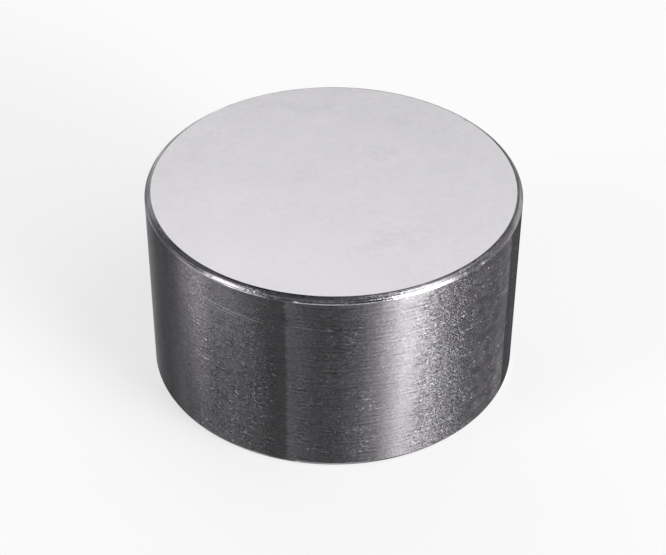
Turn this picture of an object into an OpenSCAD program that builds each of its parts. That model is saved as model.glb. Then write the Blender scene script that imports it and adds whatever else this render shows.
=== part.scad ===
// Disc magnet: one pressed, sintered and ground disc, nickel plated all over.
// The origin is the centre of the lower pole face, and +Z runs up the disc's axis.
// The disc is one revolved section: flat pole faces, a straight ground wall, and at
// each end of the wall a tumbled edge break, crowned between two small roundings.

/* [Disc] */
// Outside diameter of the ground wall
disc_d = 45; // [10:0.5:120]
// Height from the lower pole face to the upper one
disc_h = 25; // [4:0.5:80]

/* [Edge break] */
// How far the edge break reaches in over a pole face, and along the wall
edge_w = 0.7; // [0.3:0.05:1.5]
// Radius of the small roundings that lead off the pole face and onto the wall
corner_r = 0.25; // [0.05:0.05:0.25]
// Angle that each small rounding turns through before the flatter crown takes over
corner_turn = 20; // [5:1:30]

/* [Finish] */
// Colour of the plating
plating_colour = "silver"; // [silver, lightgray, gray]

/* [Hidden] */
$fn = 180;

wall_r = disc_d / 2;
// Bearings of the outward normal on the section: straight up off the pole face, level off the wall
face_bearing = 90;
wall_bearing = 0;
crown_top_bearing = face_bearing - corner_turn;
crown_end_bearing = wall_bearing + corner_turn;
// The crown meets both roundings without a kink, which leaves it only one radius
crown_r = corner_r + (edge_w - corner_r) / (cos(corner_turn) - sin(corner_turn));
// Angle between neighbouring points of a round stretch
point_turn = 5;

function unit(bearing) = [cos(bearing), sin(bearing)];

// Points of an arc from one bearing down to another, without the point that it starts from
function arc(centre, radius, from, to) =
    let (steps = ceil((from - to) / point_turn))
    [for (i = [1 : steps]) centre + radius * unit(from - (from - to) * i / steps)];

// Section of an edge break below a pole face at height 0, from the face outwards and down
function edge_break() =
    let (
        face_end = [wall_r - edge_w, 0],
        face_centre = face_end - corner_r * unit(face_bearing),
        crown_centre = face_centre - (crown_r - corner_r) * unit(crown_top_bearing),
        wall_centre = crown_centre + (crown_r - corner_r) * unit(crown_end_bearing)
    )
    concat(
        [face_end],
        arc(face_centre, corner_r, face_bearing, crown_top_bearing),
        arc(crown_centre, crown_r, crown_top_bearing, crown_end_bearing),
        arc(wall_centre, corner_r, crown_end_bearing, wall_bearing)
    );

// The same outline at the upper pole face, and turned over for the lower one
function at_top(points) = [for (p = points) [p.x, disc_h + p.y]];
function at_bottom(points) = [for (i = [len(points) - 1 : -1 : 0]) [points[i].x, -points[i].y]];

module half_section() {
    axis_ends = [[0, 0], [0, disc_h]];
    polygon(concat(axis_ends, at_top(edge_break()), at_bottom(edge_break())));
}

module magnet() {
    color(plating_colour)
        rotate_extrude()
            half_section();
}

magnet();
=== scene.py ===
import math
import random

import bpy
import numpy as np
from mathutils import Matrix, Vector


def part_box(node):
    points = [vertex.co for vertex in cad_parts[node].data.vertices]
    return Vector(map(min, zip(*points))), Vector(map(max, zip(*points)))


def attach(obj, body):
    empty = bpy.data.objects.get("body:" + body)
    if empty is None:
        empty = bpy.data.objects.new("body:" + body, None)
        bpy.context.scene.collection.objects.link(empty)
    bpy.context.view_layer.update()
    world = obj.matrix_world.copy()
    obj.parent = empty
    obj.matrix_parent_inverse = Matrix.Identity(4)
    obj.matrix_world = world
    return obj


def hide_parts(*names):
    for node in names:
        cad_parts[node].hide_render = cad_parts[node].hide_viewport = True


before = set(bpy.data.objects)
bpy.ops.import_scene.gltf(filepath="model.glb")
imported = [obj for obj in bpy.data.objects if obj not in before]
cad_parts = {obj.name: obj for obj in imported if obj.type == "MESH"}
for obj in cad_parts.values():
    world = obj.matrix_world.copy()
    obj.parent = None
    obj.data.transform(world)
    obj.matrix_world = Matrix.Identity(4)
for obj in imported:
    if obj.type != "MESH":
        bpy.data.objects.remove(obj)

# Disc magnet on a pale table. Metres, +Z up, the origin under the disc's centre on the table.
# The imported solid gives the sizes. The disc is rebuilt here as one fine mesh with three finishes:
# plated pole faces, tumbled edge breaks, and a ground wall.
# Azimuths round the disc are in degrees from the side that the camera sees, positive to its right.
scene = bpy.context.scene
mm = 0.001
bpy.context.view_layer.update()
nodeLow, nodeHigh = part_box("magnet")
wallRadius = (nodeHigh.x - nodeLow.x) / 2
discHeight = nodeHigh.z - nodeLow.z
print("frame loaded, disc", round(wallRadius * 2 / mm, 2), "x", round(discHeight / mm, 2), "mm")


# Camera, placed by a fit of the disc's outline and face edge to the photograph

viewpoint = {
    "frameWidth": 666,  # pixels, of the photograph's 666 x 555
    "sensorWidth": 36.0,  # on the camera, in its own millimetres
    "focalPixels": 1750.3,
    "distance": 215.9 * mm,  # from the disc's middle
    "elevation": 37.18,
    "roll": -0.30,
    "discOffset": (0.38, -10.44),  # pixels from the picture's centre to the disc's middle, right and down
    "clipping": (0.01, 30),
}


def makeCamera(view):
    elevation, roll = math.radians(view["elevation"]), math.radians(view["roll"])
    middle = Vector((0, 0, discHeight / 2))
    backward = Vector((0, -math.cos(elevation), math.sin(elevation)))
    right = Vector((1, 0, 0))
    up = backward.cross(right)
    place = middle + backward * view["distance"]
    # turn the aim until the disc's middle sits at its offset
    aside, below = (math.atan2(pixels, view["focalPixels"]) for pixels in view["discOffset"])
    sideways = Matrix.Rotation(aside, 3, up)
    backward, right = sideways @ backward, sideways @ right
    tilt = Matrix.Rotation(below, 3, right)
    backward, up = tilt @ backward, tilt @ up
    cosine, sine = math.cos(roll), math.sin(roll)
    right, up = cosine * right - sine * up, sine * right + cosine * up
    data = bpy.data.cameras.new("photoCamera")
    data.sensor_fit = "HORIZONTAL"
    data.sensor_width = view["sensorWidth"]
    data.lens = view["focalPixels"] / view["frameWidth"] * view["sensorWidth"]
    data.clip_start, data.clip_end = view["clipping"]
    camera = bpy.data.objects.new("photoCamera", data)
    turn = Matrix((right, up, backward)).transposed()
    camera.matrix_world = Matrix.Translation(place) @ turn.to_4x4()
    scene.collection.objects.link(camera)
    scene.camera = camera


makeCamera(viewpoint)
print("camera set")


# Node helpers

def newNode(tree, kind, **settings):
    node = tree.nodes.new(kind)
    for key, value in settings.items():
        setattr(node, key, value)
    return node


def feed(tree, socket, value):
    # a socket is linked, a plain value is set
    if isinstance(value, bpy.types.NodeSocket):
        tree.links.new(value, socket)
    elif value is not None:
        socket.default_value = value


def mathStep(tree, operation, *values, clamp=False):
    node = newNode(tree, "ShaderNodeMath", operation=operation, use_clamp=clamp)
    for socket, value in zip(node.inputs, values):
        feed(tree, socket, value)
    return node.outputs["Value"]


def vectorStep(tree, operation, first, second=None, scale=None):
    node = newNode(tree, "ShaderNodeVectorMath", operation=operation)
    feed(tree, node.inputs[0], first)
    feed(tree, node.inputs[1], second)
    if scale is not None:
        feed(tree, node.inputs["Scale"], scale)
    return node.outputs["Value"] if operation == "LENGTH" else node.outputs["Vector"]


def smoothRamp(tree, value, start, end, low=0.0, high=1.0):
    # a smooth step ends by itself: with the node's own clamp as well, the wall's shader would be too large
    node = newNode(tree, "ShaderNodeMapRange", interpolation_type="SMOOTHSTEP", clamp=False)
    limits = {"Value": value, "From Min": start, "From Max": end, "To Min": low, "To Max": high}
    for label, given in limits.items():
        feed(tree, node.inputs[label], given)
    return node.outputs["Result"]


def newGroup(name, inputs, outputs):
    # inputs are (label, default), where None stands for a vector; outputs are labels, with * for a vector
    group = bpy.data.node_groups.new(name, "ShaderNodeTree")
    for label, default in inputs:
        kind = "NodeSocketVector" if default is None else "NodeSocketFloat"
        socket = group.interface.new_socket(label, in_out="INPUT", socket_type=kind)
        if default is not None:
            socket.default_value = default
    for label in outputs:
        kind = "NodeSocketVector" if label.endswith("*") else "NodeSocketFloat"
        group.interface.new_socket(label.rstrip("*"), in_out="OUTPUT", socket_type=kind)
    return group, newNode(group, "NodeGroupInput").outputs, newNode(group, "NodeGroupOutput").inputs


def useGroup(tree, group, **values):
    # keys are the group's input labels in lower case, and other keys are passed over
    node = newNode(tree, "ShaderNodeGroup")
    node.node_tree = group
    for socket in node.inputs:
        if socket.name.lower() in values:
            feed(tree, socket, values[socket.name.lower()])
    return node.outputs


# Effects shared by the finishes

def makePlaceGroup():
    # a point's place on the disc: millimetres, azimuth in degrees, height, radius, and the wall unrolled
    outputs = ["Millimetres*", "Azimuth", "Height", "Radius", "Unrolled*"]
    group, given, made = newGroup("discPlace", [], outputs)
    coordinates = newNode(group, "ShaderNodeTexCoord").outputs["Object"]
    place = vectorStep(group, "SCALE", coordinates, scale=1 / mm)
    parts = newNode(group, "ShaderNodeSeparateXYZ")
    group.links.new(place, parts.inputs[0])
    towardCamera = mathStep(group, "MULTIPLY", parts.outputs["Y"], -1)
    azimuth = mathStep(group, "DEGREES", mathStep(group, "ARCTAN2", parts.outputs["X"], towardCamera))
    radius = vectorStep(group, "LENGTH", vectorStep(group, "MULTIPLY", place, (1, 1, 0)))
    unrolled = newNode(group, "ShaderNodeCombineXYZ")
    arc = mathStep(group, "MULTIPLY", azimuth, math.radians(wallRadius / mm))
    group.links.new(arc, unrolled.inputs["X"])
    group.links.new(parts.outputs["Z"], unrolled.inputs["Y"])
    group.links.new(unrolled.outputs["Vector"], made["Unrolled"])
    group.links.new(place, made["Millimetres"])
    group.links.new(azimuth, made["Azimuth"])
    group.links.new(parts.outputs["Z"], made["Height"])
    group.links.new(radius, made["Radius"])
    return group


def makeGrainGroup():
    # noise from -1 to 1, long round the disc and short across it; equal sizes give a cloud
    inputs = [("Place", None), ("Across", 0), ("Length", 1), ("Pitch", 1)]
    inputs += [("Detail", 2), ("Twist", 0), ("Seed", 0)]
    group, given, made = newGroup("grain", inputs, ["Value"])
    parts = newNode(group, "ShaderNodeSeparateXYZ")
    group.links.new(given["Place"], parts.inputs[0])
    stretched = newNode(group, "ShaderNodeCombineXYZ")
    group.links.new(mathStep(group, "DIVIDE", parts.outputs["X"], given["Length"]), stretched.inputs["X"])
    group.links.new(mathStep(group, "DIVIDE", parts.outputs["Y"], given["Length"]), stretched.inputs["Y"])
    across = mathStep(group, "DIVIDE", given["Across"], given["Pitch"])
    group.links.new(mathStep(group, "ADD", across, given["Seed"]), stretched.inputs["Z"])
    noise = newNode(group, "ShaderNodeTexNoise", noise_dimensions="3D")
    noise.inputs["Scale"].default_value = 1
    group.links.new(stretched.outputs["Vector"], noise.inputs["Vector"])
    group.links.new(given["Detail"], noise.inputs["Detail"])
    group.links.new(given["Twist"], noise.inputs["Distortion"])
    centred = mathStep(group, "MULTIPLY_ADD", noise.outputs["Fac"], 2, -1)
    group.links.new(centred, made["Value"])
    return group


def makeWindowGroup():
    # 1 between two values of a measure; Rise and Fall are the lengths of its two soft ends, inside them
    inputs = [("Measure", 0), ("From", 0), ("To", 1), ("Rise", 0.1), ("Fall", 0.1)]
    group, given, made = newGroup("window", inputs, ["Mask"])
    full = mathStep(group, "ADD", given["From"], given["Rise"])
    fading = mathStep(group, "SUBTRACT", given["To"], given["Fall"])
    rise = smoothRamp(group, given["Measure"], given["From"], full)
    fall = smoothRamp(group, given["Measure"], fading, given["To"], 1.0, 0.0)
    group.links.new(mathStep(group, "MULTIPLY", rise, fall), made["Mask"])
    return group


def makePitGroup():
    # small uneven flecks on the plane of X and Y: Share of the cells hold one, Size is a fleck's half height
    # as a part of the Spacing, and Stretch is how much longer than high it is
    inputs = [("Place", None), ("Spacing", 1), ("Stretch", 1), ("Size", 0.3), ("Share", 0.3), ("Warp", 0)]
    smallest, faintest = 0.4, 0.25  # as parts of the largest and of the strongest
    core = 0.3  # the part of a fleck's size that has its full strength
    warpScale = 4
    group, given, made = newGroup("pits", inputs, ["Mask"])
    warp = newNode(group, "ShaderNodeTexNoise", noise_dimensions="2D")
    warp.inputs["Scale"].default_value = warpScale
    warp.inputs["Detail"].default_value = 1
    group.links.new(given["Place"], warp.inputs["Vector"])
    shift = vectorStep(group, "SUBTRACT", warp.outputs["Color"], (0.5, 0.5, 0.5))
    place = vectorStep(group, "ADD", given["Place"], vectorStep(group, "SCALE", shift, scale=given["Warp"]))
    cells = newNode(group, "ShaderNodeTexVoronoi", voronoi_dimensions="2D", feature="F1")
    cells.inputs["Scale"].default_value = 1
    narrowing = newNode(group, "ShaderNodeCombineXYZ")
    group.links.new(mathStep(group, "DIVIDE", 1, given["Stretch"]), narrowing.inputs["X"])
    narrowing.inputs["Y"].default_value = 1
    shrunk = vectorStep(group, "MULTIPLY", place, narrowing.outputs["Vector"])
    shrunk = vectorStep(group, "SCALE", shrunk, scale=mathStep(group, "DIVIDE", 1, given["Spacing"]))
    group.links.new(shrunk, cells.inputs["Vector"])
    colour = newNode(group, "ShaderNodeSeparateColor")
    group.links.new(cells.outputs["Color"], colour.inputs["Color"])
    held = mathStep(group, "LESS_THAN", colour.outputs["Red"], given["Share"])
    sizes = smoothRamp(group, colour.outputs["Green"], 0, 1, smallest, 1.0)
    size = mathStep(group, "MULTIPLY", given["Size"], sizes)
    spot = smoothRamp(group, cells.outputs["Distance"], size, mathStep(group, "MULTIPLY", size, core))
    strengths = smoothRamp(group, colour.outputs["Blue"], 0, 1, faintest, 1.0)
    strong = mathStep(group, "MULTIPLY", held, strengths)
    group.links.new(mathStep(group, "MULTIPLY", spot, strong), made["Mask"])
    return group


def makeScratchGroup():
    # a thin line: Level is its place at its start, and Slope how far it climbs for each degree
    inputs = [("Along", 0), ("Across", 0), ("From", -10), ("To", 10)]
    inputs += [("Level", 0), ("Slope", 0), ("Width", 0.1)]
    fading = 0.2  # the part of its length over which each end fades
    group, given, made = newGroup("scratch", inputs, ["Mask"])
    along, start, end = given["Along"], given["From"], given["To"]
    soft = mathStep(group, "MULTIPLY", mathStep(group, "SUBTRACT", end, start), fading)
    rise = smoothRamp(group, along, start, mathStep(group, "ADD", start, soft))
    fall = smoothRamp(group, along, mathStep(group, "SUBTRACT", end, soft), end, 1.0, 0.0)
    gone = mathStep(group, "SUBTRACT", along, start)
    line = mathStep(group, "MULTIPLY_ADD", gone, given["Slope"], given["Level"])
    away = mathStep(group, "ABSOLUTE", mathStep(group, "SUBTRACT", given["Across"], line))
    stroke = smoothRamp(group, away, given["Width"], 0)
    ends = mathStep(group, "MULTIPLY", rise, fall)
    group.links.new(mathStep(group, "MULTIPLY", stroke, ends), made["Mask"])
    return group


discPlace = makePlaceGroup()
grain = makeGrainGroup()
window = makeWindowGroup()
pits = makePitGroup()
scratch = makeScratchGroup()
print("shared effects made")


def addUp(tree, terms):
    # sum of (socket, factor) pairs
    total = 0.0
    for socket, factor in terms:
        total = mathStep(tree, "MULTIPLY_ADD", socket, factor, total)
    return total


def weighted(layers, factors):
    # (socket, factor) pairs of the layers that have a factor
    return [(layers[name], factor) for name, factor in factors.items()]


def between(tree, measure, start, end, rise, fall):
    limits = {"from": start, "to": end, "rise": rise, "fall": fall}
    return useGroup(tree, window, measure=measure, **limits)["Mask"]


def bandSum(tree, azimuth, bands):
    # shares in windows of azimuth; each is added as soon as it is made, which keeps the shader small
    total = 0.0
    for band in bands:
        total = mathStep(tree, "MULTIPLY_ADD", between(tree, azimuth, *band[:4]), band[4], total)
    return total


def zoneSum(tree, azimuth, level, zones):
    # shares or tones in windows of azimuth and of a second measure across the surface
    total = 0.0
    for zone in zones:
        sideways, upright = between(tree, azimuth, *zone[:4]), between(tree, level, *zone[4:8])
        mask = mathStep(tree, "MULTIPLY", sideways, upright)
        total = mathStep(tree, "MULTIPLY_ADD", mask, zone[8], total)
    return total


def newMetal(name, finish):
    material = bpy.data.materials.new(name)
    material.use_nodes = True
    tree = material.node_tree
    shader = tree.nodes["Principled BSDF"]
    shader.inputs["Metallic"].default_value = 1
    shader.inputs["Specular Tint"].default_value = (*[finish["grazing"]] * 3, 1)
    return material, tree, shader


def toneOf(tree, terms, darkest):
    # 1 plus the terms, and never under the darkest tone
    return mathStep(tree, "MAXIMUM", mathStep(tree, "ADD", addUp(tree, terms), 1), darkest)


def finishMetal(tree, shader, finish, tone, relief, roughness):
    # the plain colour times the tone, the relief in millimetres as a bump, and the roughness
    colour = vectorStep(tree, "SCALE", finish["colour"], scale=tone)
    tree.links.new(colour, shader.inputs["Base Color"])
    tree.links.new(roughness, shader.inputs["Roughness"])
    bump = newNode(tree, "ShaderNodeBump")
    bump.inputs["Strength"].default_value = 1
    bump.inputs["Distance"].default_value = mm
    tree.links.new(relief, bump.inputs["Height"])
    tree.links.new(bump.outputs["Normal"], shader.inputs["Normal"])


# Pole faces: bright nickel, smooth, faintly cloudy, with fine handling marks

faceFinish = {
    "colour": (0.655, 0.641, 0.662),
    "grazing": 1.0,  # how much of its brightness the metal keeps at a grazing angle
    "roughness": 0.17,
    "clouds": {"length": 9.0, "detail": 2, "seed": 3.1, "twist": 0.4, "tone": 0.05},
    "patches": {"length": 2.6, "detail": 3, "seed": 7.7, "twist": 0.4, "tone": 0.045},
    "specks": {"length": 0.7, "detail": 2, "seed": 12.3, "tone": 0.05},
    "waviness": 0.006,  # depth of the clouds
    "dullness": {"patches": 0.03, "clouds": 0.02},  # roughness that they add
    "raggedness": {"patches": 1.2, "specks": 0.8},  # by which they break up the scuffs
    "scuffEdge": (1.3, 0.1),  # from a scuff's outline to its full strength
    "scuffs": [  # (x, y, half length, half width, turn in degrees, tone)
        (6.3, -12.0, 4.0, 2.2, 25, -0.045),
        (5.4, -11.6, 1.2, 0.5, 35, -0.025),
        (5.0, 7.4, 2.4, 1.6, -20, -0.035),
        (5.4, 5.6, 0.9, 0.8, 0, -0.015),
        (-3.0, 17.0, 5.0, 2.2, 10, -0.022),
        (-16.0, 8.0, 3.4, 2.2, 50, -0.020),
        (-2.4, -0.6, 1.4, 0.3, 60, 0.02),
        # the last is no scuff but a broad lighter area over the front left: painted light
        (-7.0, -15.0, 12.0, 6.0, -10, 0.035),
    ],
}


def makeFaceMetal(finish):
    material, tree, shader = newMetal("platedFace", finish)
    spot = useGroup(tree, discPlace)["Millimetres"]
    parts = newNode(tree, "ShaderNodeSeparateXYZ")
    tree.links.new(spot, parts.inputs[0])
    # the faces are flat, so only its seed tells one noise from another of the same length
    layers, terms = {}, []
    for name in ("clouds", "patches", "specks"):
        layers[name] = useGroup(tree, grain, place=spot, **finish[name])["Value"]
        terms.append((layers[name], finish[name]["tone"]))
    raggedness = weighted(layers, finish["raggedness"])
    for x, y, length, width, turn, tone in finish["scuffs"]:
        # a soft ellipse, broken up by the patches and the specks
        cosine, sine = math.cos(math.radians(turn)), math.sin(math.radians(turn))
        right = mathStep(tree, "SUBTRACT", parts.outputs["X"], x)
        back = mathStep(tree, "SUBTRACT", parts.outputs["Y"], y)
        along = addUp(tree, [(right, cosine / length), (back, sine / length)])
        across = addUp(tree, [(right, -sine / width), (back, cosine / width)])
        squares = [(mathStep(tree, "POWER", way, 2), 1) for way in (along, across)]
        away = mathStep(tree, "SQRT", addUp(tree, squares))
        terms.append((smoothRamp(tree, addUp(tree, raggedness + [(away, 1)]), *finish["scuffEdge"]), tone))
    tone = mathStep(tree, "ADD", addUp(tree, terms), 1)
    relief = mathStep(tree, "MULTIPLY", layers["clouds"], finish["waviness"])
    dullness = addUp(tree, weighted(layers, finish["dullness"]))
    roughness = mathStep(tree, "ADD", dullness, finish["roughness"])
    finishMetal(tree, shader, finish, tone, relief, roughness)
    return material


# Sizes of the disc's section and mesh

body = {
    "edgeWidth": 0.7 * mm,
    "cornerRadius": 0.25 * mm,
    "cornerTurn": 20,  # degrees
    "cornerSteps": 5,
    "crownSteps": 12,
    "segments": 1200,
    "wallRings": 6,
    "faceRings": 3,
    "faceGaps": (1.2 * mm, 0.6 * mm, 0.4 * mm, 0.25 * mm, 0.12 * mm, 0.03 * mm),  # rings near the face's end
    "wallGaps": (0.03 * mm, 0.45 * mm),  # rings near the wall's ends keep its shading straight
}


# Edge breaks: tumbled, with streaks that run round the disc

edgeFinish = {
    # painted shade: the same nickel as the faces, darkened for the dark surroundings that the edge breaks
    # mirror
    "colour": (0.290, 0.280, 0.294),
    "grazing": 0.45,
    "roughness": 0.2,
    "darkest": 0.15,
    "streaks": {"length": 9.0, "pitch": 0.21, "detail": 2, "seed": 0, "tone": 0.90, "depth": 0.020},
    "mottle": {"length": 0.50, "pitch": 0.26, "detail": 2, "seed": 4, "twist": 0.6,
               "tone": 0.75, "depth": 0.022},
    "mottled": [  # (azimuth from, to, rise, fall, share) over a bare minimum, as the wall's pebbled places
        (-29, -12, 4, 4, 0.90),
        (-12, 24, 4, 4, 0.55),
        (36, 68, 6, 12, 0.70),
    ],
    "mottledMinimum": 0.25,
    "patches": {"length": 3.0, "pitch": 3.0, "detail": 2, "seed": 8, "tone": 0.20},
    "dullness": {"mottle": 0.08, "streaks": 0.05},  # roughness that they add
    "faceLine": {"width": 0.17, "fade": 0.20, "tone": -0.50},  # a dark line beside the pole face: painted shade for the dark surroundings it mirrors
    "raggedness": {"mottle": 0.22, "patches": 0.12},  # millimetres by which they move that line
    # painted light: each zone lightens or darkens the edge where it mirrors a lamp, the floor or dark
    # surroundings, and the two short ones are painted glints
    "paintedLightAndTones": [  # (azimuth from, to, rise, fall, across from, to, rise, fall, tone)
        (-72.0, -49.0, 5.0, 5.0, 0.95, 2.0, 0.4, 0.1, -0.45),
        (-22.0, -11.2, 6.0, 0.8, 1.05, 2.0, 0.2, 0.1, -0.50),
        (38.0, 66.0, 6.0, 6.0, 1.00, 2.0, 0.4, 0.1, -0.40),
        (2.0, 22.0, 5.0, 6.0, 0.20, 1.3, 0.2, 0.4, -0.35),
        (-37.0, -18.0, 8.0, 4.0, 1.18, 1.5, 0.08, 0.05, 0.50),
        (-11.0, 14.0, 0.6, 4.0, 1.16, 1.5, 0.1, 0.05, 0.55),
        (44.0, 84.0, 28.0, 6.0, 1.24, 1.5, 0.06, 0.05, 0.90),
        (7.0, 20.0, 4.0, 5.0, 1.00, 1.5, 0.1, 0.05, -0.50),
        (-11.3, -9.7, 0.4, 0.4, 1.10, 1.45, 0.1, 0.1, 1.00),
        (47.7, 49.5, 0.5, 0.5, 1.05, 1.45, 0.1, 0.1, 1.60),
        (67.0, 86.0, 4.0, 5.0, 0.25, 2.0, 0.3, 0.1, 0.60),
        (-80.0, -66.0, 4.0, 5.0, 0.80, 2.0, 0.3, 0.1, 0.25),
        (108.0, 200.0, 26.0, 1.0, -1.0, 0.8, 0.1, 0.3, 1.30),
        (-200.0, -112.0, 1.0, 26.0, -1.0, 0.8, 0.1, 0.3, 1.20),
    ],
}


def makeEdgeMetal(finish):
    material, tree, shader = newMetal("tumbledEdge", finish)
    place = useGroup(tree, discPlace)
    # how far out from the pole face and down the section, in millimetres
    fromTop = mathStep(tree, "SUBTRACT", discHeight / mm, place["Height"])
    down = mathStep(tree, "MINIMUM", place["Height"], fromTop)
    out = mathStep(tree, "SUBTRACT", place["Radius"], (wallRadius - body["edgeWidth"]) / mm)
    across = mathStep(tree, "ADD", down, out)

    def noise(name):
        return useGroup(tree, grain, place=place["Millimetres"], across=across, **finish[name])["Value"]

    streaks = noise("streaks")
    share = bandSum(tree, place["Azimuth"], finish["mottled"])
    share = mathStep(tree, "ADD", share, finish["mottledMinimum"])
    mottle = mathStep(tree, "MULTIPLY", noise("mottle"), share)
    layers = {"streaks": streaks, "mottle": mottle, "patches": noise("patches")}
    raggedness = weighted(layers, finish["raggedness"])
    line = finish["faceLine"]
    away = addUp(tree, raggedness + [(across, 1)])
    faceLine = smoothRamp(tree, away, line["width"] + line["fade"], line["width"])
    terms = [(layer, finish[name]["tone"]) for name, layer in layers.items()]
    terms.append((faceLine, line["tone"]))
    # the painted highlights, glints and shade of the edge breaks
    terms.append((zoneSum(tree, place["Azimuth"], across, finish["paintedLightAndTones"]), 1))
    tone = toneOf(tree, terms, finish["darkest"])
    relief = addUp(tree, [(layers[name], finish[name]["depth"]) for name in ("streaks", "mottle")])
    dullness = addUp(tree, weighted(layers, finish["dullness"]))
    roughness = mathStep(tree, "ADD", dullness, finish["roughness"])
    finishMetal(tree, shader, finish, tone, relief, roughness)
    return material


# Wall: ground round the disc, then plated, which leaves fine lines, a pebbled skin and pits

wholeWall = (-5, 30, 1, 1)  # heights from, to, rise, fall that take in all of it

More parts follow.
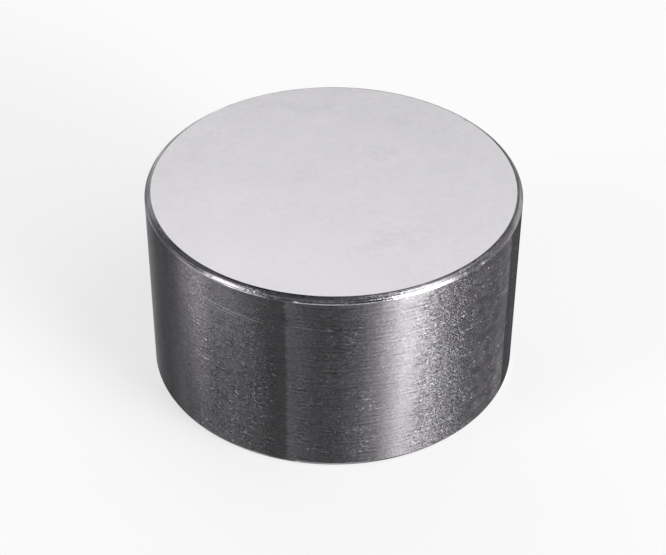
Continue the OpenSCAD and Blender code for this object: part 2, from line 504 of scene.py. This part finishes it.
wallFinish = {
    # painted shade: the same nickel as the faces, darkened for the dark surroundings that the wall mirrors
    "colour": (0.155, 0.1494, 0.1573),
    "grazing": 0.35,
    "roughness": 0.5,
    "anisotropy": 1.0,
    "turn": 0.25,  # a quarter turn: the ground lines run round the disc and spread light up and down
    "darkest": 0.15,
    "lines": {"pitch": 0.57, "tone": 0.24, "depth": 0.004, "minimum": 0.4},  # left by the grinding wheel
    # how the lines wander, with the reach in millimetres, and where they fade
    "wander": {"length": 7.0, "pitch": 5.0, "detail": 1, "seed": 13, "reach": 0.45},
    "fading": {"length": 1.8, "pitch": 0.7, "detail": 2, "seed": 15, "ramp": (-0.1, 0.4)},
    "lined": [  # (azimuth from, to, rise, fall, share) over the lines' minimum
        (-14, 40, 5, 12, 0.6),
        (-58, -34, 8, 8, 0.3),
    ],
    "streaks": {"length": 2.6, "pitch": 0.30, "detail": 1, "seed": 0, "twist": 0.4,
                "tone": 0.14, "depth": 0.003},
    "grit": {"length": 0.32, "pitch": 0.18, "detail": 1, "seed": 5, "tone": 0.42, "depth": 0.002},
    "pebble": {"length": 0.26, "pitch": 0.18, "detail": 3, "seed": 9, "tone": 0.62, "depth": 0.014},
    "pebbleRamp": (-0.25, 0.5, -0.75, 1.3),  # from the noise's range to dark hollows and light crests
    # light marks, which gather where the blotches are light; the sparks are painted glints in the bright
    # band
    "markRamp": (0.12, 0.55, -0.12, 1.0),  # from the noise's range to how light
    "gatherRange": (-0.3, 0.3),  # of the blotches
    "marks": {  # zones are (azimuth from, to, rise, fall, height from, to, rise, fall, share)
        "dashes": {"length": 0.6, "pitch": 0.23, "detail": 2, "seed": 21, "tone": 0.85, "depth": 0.008,
                   "gather": 0.25, "zones": [
            (-7.0, 14.0, 3.0, 6.0, 13.0, 24.0, 4.0, 3.0, 0.90),
            (-14.0, 26.0, 2.0, 6.0, *wholeWall, 0.25),
        ]},
        # painted glints, where the wall mirrors the bright band
        "sparks": {"length": 0.24, "pitch": 0.17, "detail": 2, "seed": 27, "tone": 0.70, "depth": 0.006,
                   "gather": 0.25, "zones": [
            (19.0, 43.0, 7.0, 12.0, *wholeWall, 1.00),
            (14.0, 44.0, 8.0, 12.0, -5.0, 10.0, 1.0, 7.0, 0.70),
        ]},
        "flecks": {"length": 0.46, "pitch": 0.33, "detail": 2, "seed": 23, "tone": 0.80, "depth": 0.012,
                   "gather": 0.75, "zones": [
            (-54.0, -14.0, 16.0, 6.0, -5.0, 27.0, 1.0, 13.0, 1.30),
            (-14.0, 16.0, 3.0, 6.0, -5.0, 15.0, 1.0, 4.0, 0.75),
            (46.0, 84.0, 8.0, 4.0, *wholeWall, 0.50),
        ]},
    },
    "pebbled": [  # (azimuth from, to, rise, fall, share) over a bare minimum
        (21, 56, 9, 24, 1.00),
        (-58, -14, 16, 8, 0.32),
        (-14, 12, 4, 8, 0.20),
    ],
    "pebbleMinimum": 0.10,
    "pebbleGather": 1.5,  # how far the pebbled skin keeps to the light blotches
    "patches": {"length": 6.0, "pitch": 6.0, "detail": 2, "seed": 2, "tone": 0.10},
    "dullness": 0.04,  # roughness that the patches add
    "blotches": {"length": 1.5, "pitch": 1.05, "detail": 2, "seed": 17, "tone": 0.18},
    "blotched": [  # (azimuth from, to, rise, fall, share) on top of the blotches elsewhere
        (42, 68, 8, 2, 2.6),
        (64, 92, 2, 10, 0.8),
    ],
    "haze": {"length": 1.6, "pitch": 14.0, "detail": 2, "seed": 6, "tone": 0.16},  # faint upright streaks
    "borders": {"pebble": 0.25, "streaks": 0.6, "blotches": 0.9},  # degrees by which the borders of the tones and painted light move
    # mostly painted light: the light zones stand in for reflections of the lamps and the floor, such as the
    # bright band and the light left side, and the dark ones are painted shade; a few sharp-edged ones are
    # differences in the finish
    "paintedLightAndTones": [  # (azimuth from, to, rise, fall, height from, to, rise, fall, tone)
        (-24.0, -13.1, 8.0, 1.0, *wholeWall, -0.26),  # darker up to a sharp line
        (-14.1, -4.0, 1.0, 9.0, *wholeWall, 0.42),
        (-69.0, -56.0, 4.0, 4.0, *wholeWall, 0.06),
        (-44.0, -16.0, 8.0, 8.0, *wholeWall, -0.13),
        (-56.0, -34.0, 12.0, 12.0, 2, 34, 18, 2, 1.15),  # a painted reflection, lighter towards the upper edge
        (-6.0, 1.0, 3.0, 3.0, *wholeWall, -0.06),
        (1.0, 18.0, 4.0, 5.0, *wholeWall, 0.25),
        (22.0, 33.0, 4.0, 5.0, *wholeWall, 0.14),
        (41.0, 54.0, 4.0, 4.0, *wholeWall, 0.20),
        (44.0, 67.2, 8.0, 1.6, *wholeWall, 0.08),
        (-60.0, -36.0, 6.0, 8.0, *wholeWall, 0.20),
        (4.0, 27.0, 7.5, 13.0, *wholeWall, 0.58),
        (10.0, 34.0, 5.0, 8.0, 4, 40, 16, 1, 0.26),
        (8.0, 34.0, 8.0, 8.0, 22.9, 26, 1.4, 1, 0.28),
        (29.0, 41.0, 4.0, 4.0, *wholeWall, -0.07),
        (18.5, 31.0, 4.0, 6.0, *wholeWall, -0.14),
        (50.0, 67.2, 8.0, 1.6, -5, 9, 1, 6, 0.12),
        (-53.0, -37.0, 6.0, 6.0, 13, 40, 11, 1, 0.42),
        (-44.0, -22.0, 6.0, 8.0, -5, 20, 1, 10, -0.22),
        (36.0, 67.2, 24.0, 1.6, *wholeWall, 0.44),
        (57.0, 67.2, 4.0, 1.6, *wholeWall, 0.44),
        (65.8, 92.0, 1.6, 12.0, *wholeWall, -0.12),
        (73.0, 100.0, 8.0, 4.0, *wholeWall, -0.45),
        (-112.0, -62.0, 20.0, 16.0, *wholeWall, 1.00),
        (-104.0, -75.0, 8.0, 8.0, *wholeWall, 1.00),
    ],
    # the pits' light tone is a painted glint
    "pits": {"spacing": 0.50, "stretch": 1.6, "size": 0.32, "share": 0.42, "warp": 0.5,
             "tone": 1.9, "depth": 0.010},
    "pitGather": (-0.3, 0.4, 0.15, 1.6),  # from the blotches' range to how many pits show
    "pitShadow": {"shift": (0.07, 0.19, 0.0), "tone": -0.9},  # a painted shadow on one side of each pit
    "pitted": [  # (azimuth from, to, rise, fall, height from, to, rise, fall, share)
        (-48.0, -15.0, 10.0, 4.0, -4.0, 21.0, 6.0, 8.0, 0.75),
        (20.0, 80.0, 10.0, 8.0, *wholeWall, 1.0),
        (-12.0, 16.0, 3.0, 6.0, -5.0, 14.0, 1.0, 4.0, 0.55),
        (-14.0, 20.0, 3.0, 6.0, 10.0, 30.0, 4.0, 1.0, 0.30),
    ],
    "scratches": [  # (azimuth from, to, height at its start, climb for each degree, half width, tone)
        (-44.0, -18.0, 21.35, -0.030, 0.12, 1.0),
        (-38.0, -23.0, 20.75, -0.030, 0.09, 0.7),
        (-13.0, 1.0, 20.90, -0.010, 0.11, 0.8),
        (0.5, 12.0, 8.35, 0.000, 0.11, 0.6),
        (57.0, 63.0, 17.6, -0.130, 0.10, 1.0),
        (62.0, 70.0, 16.8, -0.120, 0.10, 0.8),
        (63.0, 77.0, 23.2, -0.280, 0.12, 0.6),
        (66.0, 82.0, 18.8, -0.300, 0.10, 0.5),
        (-41.8, -39.2, 12.0, 0.060, 0.14, 2.0),
        (-43.8, -42.6, 18.4, -0.080, 0.12, 1.0),
        (-30.2, -28.8, 9.1, -0.150, 0.16, 2.4),
        (-24.2, -22.8, 8.9, -0.100, 0.15, 1.8),
        (-32.6, -31.4, 6.0, 0.120, 0.14, 1.4),
        (-25.4, -22.8, 5.4, -0.060, 0.13, 1.4),
        (57.4, 58.8, 17.5, 0.100, 0.14, 1.4),
        (20.6, 22.0, 13.4, 0.050, 0.14, 0.5),
    ],
    "scratchDepth": 0.008,
    "scratchBreaks": (-0.4, 0.1, 0.4, 1.0),  # from the grit's range to how much of a scratch is left
}


def makeWallMetal(finish):
    material, tree, shader = newMetal("groundWall", finish)
    shader.inputs["Anisotropic"].default_value = finish["anisotropy"]
    shader.inputs["Anisotropic Rotation"].default_value = finish["turn"]
    around = newNode(tree, "ShaderNodeTangent", direction_type="RADIAL", axis="Z")
    tree.links.new(around.outputs["Tangent"], shader.inputs["Tangent"])
    place = useGroup(tree, discPlace)
    height, azimuth = place["Height"], place["Azimuth"]

    def noise(layer):
        return useGroup(tree, grain, place=place["Millimetres"], across=height, **layer)["Value"]

    def times(first, second):
        return mathStep(tree, "MULTIPLY", first, second)

    # lines round the disc at an even pitch, which wander a little and fade in places
    ground, wander, fading = finish["lines"], finish["wander"], finish["fading"]
    shift = times(noise(wander), wander["reach"] / ground["pitch"])
    turns = mathStep(tree, "ADD", times(height, 1 / ground["pitch"]), shift)
    lines = mathStep(tree, "SINE", times(turns, 2 * math.pi))
    lines = times(lines, smoothRamp(tree, noise(fading), *fading["ramp"]))
    lined = bandSum(tree, azimuth, finish["lined"])
    lines = times(lines, mathStep(tree, "ADD", lined, ground["minimum"]))
    names = ("streaks", "grit", "patches", "blotches")
    streaks, grit, patches, blotches = (noise(finish[name]) for name in names)
    extra = bandSum(tree, azimuth, finish["blotched"])
    cloudy = times(blotches, mathStep(tree, "ADD", extra, 1))
    marks = []
    for mark in finish["marks"].values():
        light = smoothRamp(tree, noise(mark), *finish["markRamp"])
        light = times(light, zoneSum(tree, azimuth, height, mark["zones"]))
        spread = (1 - mark["gather"], 1 + mark["gather"])
        light = times(light, smoothRamp(tree, blotches, *finish["gatherRange"], *spread))
        marks.append((light, mark))
    # how strongly the skin is pebbled
    share = mathStep(tree, "ADD", bandSum(tree, azimuth, finish["pebbled"]), finish["pebbleMinimum"])
    gathered = mathStep(tree, "MULTIPLY_ADD", blotches, finish["pebbleGather"], 1)
    share = mathStep(tree, "MULTIPLY", share, gathered, clamp=True)
    crests = smoothRamp(tree, noise(finish["pebble"]), *finish["pebbleRamp"])
    # pits, each painted with a bright glint and with a painted shadow on one side
    pitShare = zoneSum(tree, azimuth, height, finish["pitted"])
    pitShare = times(pitShare, smoothRamp(tree, blotches, *finish["pitGather"]))
    darkPlace = vectorStep(tree, "ADD", place["Unrolled"], finish["pitShadow"]["shift"])
    pitsAndGlints, paintedPitShadows = (
        times(useGroup(tree, pits, place=centre, **finish["pits"])["Mask"], pitShare)
        for centre in (place["Unrolled"], darkPlace)
    )
    # scratches, broken up by the grit
    scored, cut = 0.0, 0.0
    for *course, tone in finish["scratches"]:
        given = dict(zip(("from", "to", "level", "slope", "width"), course))
        mask = useGroup(tree, scratch, along=azimuth, across=height, **given)["Mask"]
        mask = times(mask, smoothRamp(tree, grit, *finish["scratchBreaks"]))
        scored = mathStep(tree, "MULTIPLY_ADD", mask, tone, scored)
        cut = mathStep(tree, "MULTIPLY_ADD", mask, -finish["scratchDepth"], cut)
    layers = {
        "lines": lines,
        "streaks": streaks,
        "grit": grit,
        "pebble": times(crests, share),
        "patches": patches,
        "blotches": cloudy,
        "haze": noise(finish["haze"]),
        "pits": pitsAndGlints,
        "pitShadow": paintedPitShadows,
    }
    terms = [(layer, finish[name]["tone"]) for name, layer in layers.items()]
    terms += [(light, mark["tone"]) for light, mark in marks]
    tone = toneOf(tree, terms + [(scored, 1)], finish["darkest"])
    # the borders of the tones and of the painted light are a little uneven
    movers = {"pebble": crests, "streaks": streaks, "blotches": blotches}
    raggedAzimuth = addUp(tree, weighted(movers, finish["borders"]) + [(azimuth, 1)])
    # the tones and painted light of the zones, which multiply the colour
    zoneTonesAndPaintedLight = mathStep(tree, "ADD", zoneSum(tree, raggedAzimuth, height, finish["paintedLightAndTones"]), 1)
    skin = [(layers[name], finish[name]["depth"]) for name in ("lines", "streaks", "grit", "pebble")]
    skin.append((pitsAndGlints, -finish["pits"]["depth"]))
    skin += [(light, -mark["depth"]) for light, mark in marks]
    relief = addUp(tree, skin + [(cut, 1)])
    roughness = mathStep(tree, "MULTIPLY_ADD", patches, finish["dullness"], finish["roughness"])
    finishMetal(tree, shader, finish, times(tone, zoneTonesAndPaintedLight), relief, roughness)
    return material


# The disc's mesh, with its finishes numbered in the order of its materials

faceKind, edgeKind, wallKind = 0, 1, 2


def arcPoints(centre, radius, start, end, steps):
    bearings = [math.radians(start + (end - start) * i / steps) for i in range(1, steps + 1)]
    return [(centre[0] + radius * math.cos(way), centre[1] + radius * math.sin(way)) for way in bearings]


def edgeSection(sizes):
    # from the pole face at height 0, outwards and down to the wall: rounding, crown, rounding
    turn = math.radians(sizes["cornerTurn"])
    width, small = sizes["edgeWidth"], sizes["cornerRadius"]
    crown = small + (width - small) / (math.cos(turn) - math.sin(turn))
    faceCentre = (wallRadius - width, -small)
    shift = ((crown - small) * math.sin(turn), (crown - small) * math.cos(turn))
    crownCentre = (faceCentre[0] - shift[0], faceCentre[1] - shift[1])
    wallCentre = (wallRadius - small, -width)
    top, low = 90 - sizes["cornerTurn"], sizes["cornerTurn"]
    return (
        [(wallRadius - width, 0)]
        + arcPoints(faceCentre, small, 90, top, sizes["cornerSteps"])
        + arcPoints(crownCentre, crown, top, low, sizes["crownSteps"])
        + arcPoints(wallCentre, small, low, 0, sizes["cornerSteps"])
    )


def sectionRings(sizes):
    # (radius, height, finish) of each ring from the upper face's middle down to the lower face's middle
    width, (gap, guard) = sizes["edgeWidth"], sizes["wallGaps"]
    faceEnd = wallRadius - width
    faceRadii = [faceEnd * (i / sizes["faceRings"]) for i in range(1, sizes["faceRings"])]
    faceRadii += [faceEnd - near for near in sizes["faceGaps"]]
    edge = edgeSection(sizes)
    rings = [(radius, discHeight, faceKind) for radius in faceRadii]
    rings += [(radius, discHeight + z, edgeKind) for radius, z in edge]
    wallTop, wallLow = discHeight - width - guard, width + guard
    steps = sizes["wallRings"]
    rings += [(wallRadius, wallTop + guard - gap, wallKind)]
    rings += [(wallRadius, wallTop + (wallLow - wallTop) * i / steps, wallKind) for i in range(steps + 1)]
    rings += [(wallRadius, wallLow - guard + gap, wallKind)]
    rings += [(radius, -z, edgeKind) for radius, z in reversed(edge)]
    rings += [(radius, 0, faceKind) for radius in reversed(faceRadii)]
    return rings


# Dings in the edge breaks. Across is the way from the pole face out and down the section.
dings = {
    "seen": [  # (azimuth, across, half length, half width, depth), upper edge
        (-53.0, 1.20, 0.35, 0.16, 0.035),
        (-17.5, 1.05, 0.30, 0.20, 0.030),
        (-10.5, 1.30, 0.35, 0.14, 0.040),
        (4.0, 1.25, 0.70, 0.12, 0.020),
        (48.6, 1.25, 0.35, 0.20, 0.045),
        (53.0, 0.60, 0.40, 0.20, 0.030),
        (131.0, 0.10, 0.30, 0.20, 0.050),
    ],
    "seed": 11,
    "count": 90,  # small ones on each edge break
    # ranges of the small ones, in millimetres
    "halfLength": (0.15, 0.60),
    "halfWidth": (0.07, 0.20),
    "depth": (0.006, 0.026),
    "across": (0.1, 1.3),
}


def dingList(given):
    # (upper, azimuth, across, half length, half width, depth)
    chance = random.Random(given["seed"])
    every = [(True, *ding) for ding in given["seen"]]
    for upper in (True, False):
        for _ in range(given["count"]):
            sizes = [chance.uniform(*given[key]) for key in ("halfLength", "halfWidth", "depth")]
            every.append((upper, chance.uniform(-180, 180), chance.uniform(*given["across"]), *sizes))
    return every


def makeDisc(sizes):
    rings = sectionRings(sizes)
    count = sizes["segments"]
    angles = np.arange(count) * (2 * math.pi / count)
    radii = np.repeat(np.array([[radius] for radius, height, kind in rings]), count, 1)
    heights = np.repeat(np.array([[height] for radius, height, kind in rings]), count, 1)
    # press the dings in, halfway between inwards and towards the disc's middle
    across = radii - (wallRadius - sizes["edgeWidth"]) + np.minimum(heights, discHeight - heights)
    upperHalf = heights > discHeight / 2
    dent = np.zeros_like(radii)
    for upper, azimuth, level, halfLength, halfWidth, depth in dingList(dings):
        turn = angles - math.radians(azimuth - 90)
        along = (turn + math.pi) % (2 * math.pi) - math.pi
        lengthwise = along * wallRadius / (halfLength * mm)
        crosswise = (across - level * mm) / (halfWidth * mm)
        bell = np.exp(-lengthwise ** 2 - crosswise ** 2)
        dent = np.maximum(dent, np.where(upperHalf == upper, bell, 0) * depth * mm)
    dent *= math.sqrt(0.5)
    radii = radii - dent
    heights = heights - np.where(upperHalf, dent, -dent)
    points = np.stack([radii * np.cos(angles), radii * np.sin(angles), heights], 2).reshape(-1, 3)
    points = np.vstack([[0, 0, discHeight], points, [0, 0, 0]])
    last = len(points) - 1
    lowest = last - count  # first point of the last ring
    faces, finishes = [], []
    for i in range(count):
        j = (i + 1) % count
        faces += [(0, 1 + i, 1 + j), (last, lowest + j, lowest + i)]
        finishes += [faceKind, faceKind]
    for k, (above, below) in enumerate(zip(rings, rings[1:])):
        upper, lower = 1 + k * count, 1 + (k + 1) * count
        for i in range(count):
            j = (i + 1) % count
            faces.append((upper + i, lower + i, lower + j, upper + j))
        # where the finish changes, the later one in their order has the strip
        finishes += [max(above[2], below[2])] * count
    mesh = bpy.data.meshes.new("discBody")
    mesh.from_pydata(points.tolist(), [], faces)
    mesh.polygons.foreach_set("material_index", finishes)
    mesh.polygons.foreach_set("use_smooth", [True] * len(faces))
    mesh.update()
    disc = bpy.data.objects.new("discBody", mesh)
    scene.collection.objects.link(disc)
    return disc


disc = makeDisc(body)
for metal in (makeFaceMetal(faceFinish), makeEdgeMetal(edgeFinish), makeWallMetal(wallFinish)):
    disc.data.materials.append(metal)
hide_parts("magnet")
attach(disc, "root")
print("disc made,", len(disc.data.polygons), "faces")


# Table

table = {
    "colour": (0.94, 0.94, 0.945),
    "roughness": 0.7,
    "whiteShare": 0.65,  # how far the table is drawn as pure white, for the camera and in the metal
    "reach": 6.0,
}


def makeTable(look):
    half = look["reach"]
    corners = [(-half, -half, 0), (half, -half, 0), (half, half, 0), (-half, half, 0)]
    mesh = bpy.data.meshes.new("tableTop")
    mesh.from_pydata(corners, [], [(0, 1, 2, 3)])
    material = bpy.data.materials.new("paleTable")
    material.use_nodes = True
    tree = material.node_tree
    shader = tree.nodes["Principled BSDF"]
    shader.inputs["Base Color"].default_value = (*look["colour"], 1)
    shader.inputs["Roughness"].default_value = look["roughness"]
    rays = newNode(tree, "ShaderNodeLightPath").outputs
    seen = mathStep(tree, "ADD", rays["Is Camera Ray"], rays["Is Glossy Ray"])
    seen = mathStep(tree, "ADD", seen, rays["Is Transmission Ray"], clamp=True)
    white = newNode(tree, "ShaderNodeEmission")
    mixed = newNode(tree, "ShaderNodeMixShader")
    tree.links.new(mathStep(tree, "MULTIPLY", seen, look["whiteShare"]), mixed.inputs["Fac"])
    tree.links.new(shader.outputs["BSDF"], mixed.inputs[1])
    tree.links.new(white.outputs["Emission"], mixed.inputs[2])
    tree.links.new(mixed.outputs["Shader"], tree.nodes["Material Output"].inputs["Surface"])
    mesh.materials.append(material)
    top = bpy.data.objects.new("tableTop", mesh)
    scene.collection.objects.link(top)


makeTable(table)
print("table laid")


# Studio: softboxes round the disc, each by the azimuths and elevations of its edges as seen from the disc.
# Brightness 1 is white. Ends is how bright its left, right, lower and upper edge are as a part of that, and
# fade is the part of its width or height over which it fades out there.

studio = {
    "distance": 2.5,
    "ambient": (0.20, 0.1985, 0.201),
    "evenEnds": (1, 1, 1, 1),  # for a softbox without ends of its own
    "softboxes": {
        "backPanel": {"azimuth": (138, 222), "elevation": (22, 50), "brightness": 0.78,
                      "ends": (0.88, 1.12, 0.60, 1.58), "fade": (0.1, 0.1, 0.32, 0.08)},
        "backLow": {"azimuth": (174, 216), "elevation": (1, 24), "brightness": 4.0,
                    "fade": (0.4, 0.4, 0.0, 0.5)},
        "rightLow": {"azimuth": (28, 72), "elevation": (0.5, 26), "brightness": 31.0,
                     "fade": (0.36, 0.62, 0.0, 0.35)},
        "rightHigh": {"azimuth": (40, 84), "elevation": (28, 74), "brightness": 3.7,
                      "fade": (0.35, 0.25, 0.1, 0.3)},
        "rightTop": {"azimuth": (72, 122), "elevation": (54, 78), "brightness": 1.5,
                     "fade": (0.3, 0.3, 0.3, 0.3)},
        "leftLow": {"azimuth": (-108, -66), "elevation": (0.5, 14), "brightness": 0.8,
                    "fade": (0.4, 0.5, 0.0, 0.3)},
        "leftHigh": {"azimuth": (-75, -49), "elevation": (0.5, 46), "brightness": 4.2,
                     "fade": (0.2, 0.35, 0.0, 0.2)},
        "leftSpots": {"azimuth": (-54, -38), "elevation": (0.5, 18), "brightness": 1.6,
                      "fade": (0.3, 0.5, 0.0, 0.4)},
        "rightSide": {"azimuth": (82, 140), "elevation": (6, 80), "brightness": 0.26,
                      "fade": (0.2, 0.2, 0.1, 0.2)},
        "rightBack": {"azimuth": (116, 184), "elevation": (0.5, 30), "brightness": 0.72,
                      "fade": (0.4, 0.2, 0.0, 0.3)},
        "leftBack": {"azimuth": (-166, -120), "elevation": (0.5, 36), "brightness": 0.72,
                     "fade": (0.2, 0.4, 0.0, 0.3)},
    },
}


def makeSoftbox(name, box, distance, evenEnds):
    (left, right), (low, high) = box["azimuth"], box["elevation"]
    azimuth, elevation = math.radians((left + right) / 2), math.radians((low + high) / 2)
    level = math.cos(elevation)
    toward = Vector((math.sin(azimuth) * level, -math.cos(azimuth) * level, math.sin(elevation)))
    data = bpy.data.lights.new(name, "AREA")
    data.shape = "RECTANGLE"
    data.size = 2 * distance * math.tan(math.radians(right - left) / 2) * level
    data.size_y = 2 * distance * math.tan(math.radians(high - low) / 2)
    data.energy = box["brightness"] * math.pi * data.size * data.size_y
    data.use_nodes = True
    tree = data.node_tree
    across = newNode(tree, "ShaderNodeSeparateXYZ")
    tree.links.new(newNode(tree, "ShaderNodeTexCoord").outputs["UV"], across.inputs[0])
    ends = box.get("ends", evenEnds)
    strength = 1.0
    for axis, label in enumerate("XY"):
        place, pair = across.outputs[label], slice(2 * axis, 2 * axis + 2)
        (near, far), (nearFade, farFade) = ends[pair], box["fade"][pair]
        slope = mathStep(tree, "MULTIPLY_ADD", place, far - near, near)
        strength = mathStep(tree, "MULTIPLY", strength, slope)
        if nearFade:
            strength = mathStep(tree, "MULTIPLY", strength, smoothRamp(tree, place, 0, nearFade))
        if farFade:
            strength = mathStep(tree, "MULTIPLY", strength, smoothRamp(tree, place, 1, 1 - farFade))
    tree.links.new(strength, tree.nodes["Emission"].inputs["Strength"])
    lamp = bpy.data.objects.new(name, data)
    lamp.location = toward * distance
    lamp.rotation_euler = toward.to_track_quat("Z", "Y").to_euler()
    lamp.visible_camera = False
    scene.collection.objects.link(lamp)


for name, box in studio["softboxes"].items():
    makeSoftbox(name, box, studio["distance"], studio["evenEnds"])

world = bpy.data.worlds.new("studio")
scene.world = world
world.use_nodes = True
world.node_tree.nodes["Background"].inputs["Color"].default_value = (*studio["ambient"], 1)
scene.view_settings.view_transform = "Standard"
print("studio lit")
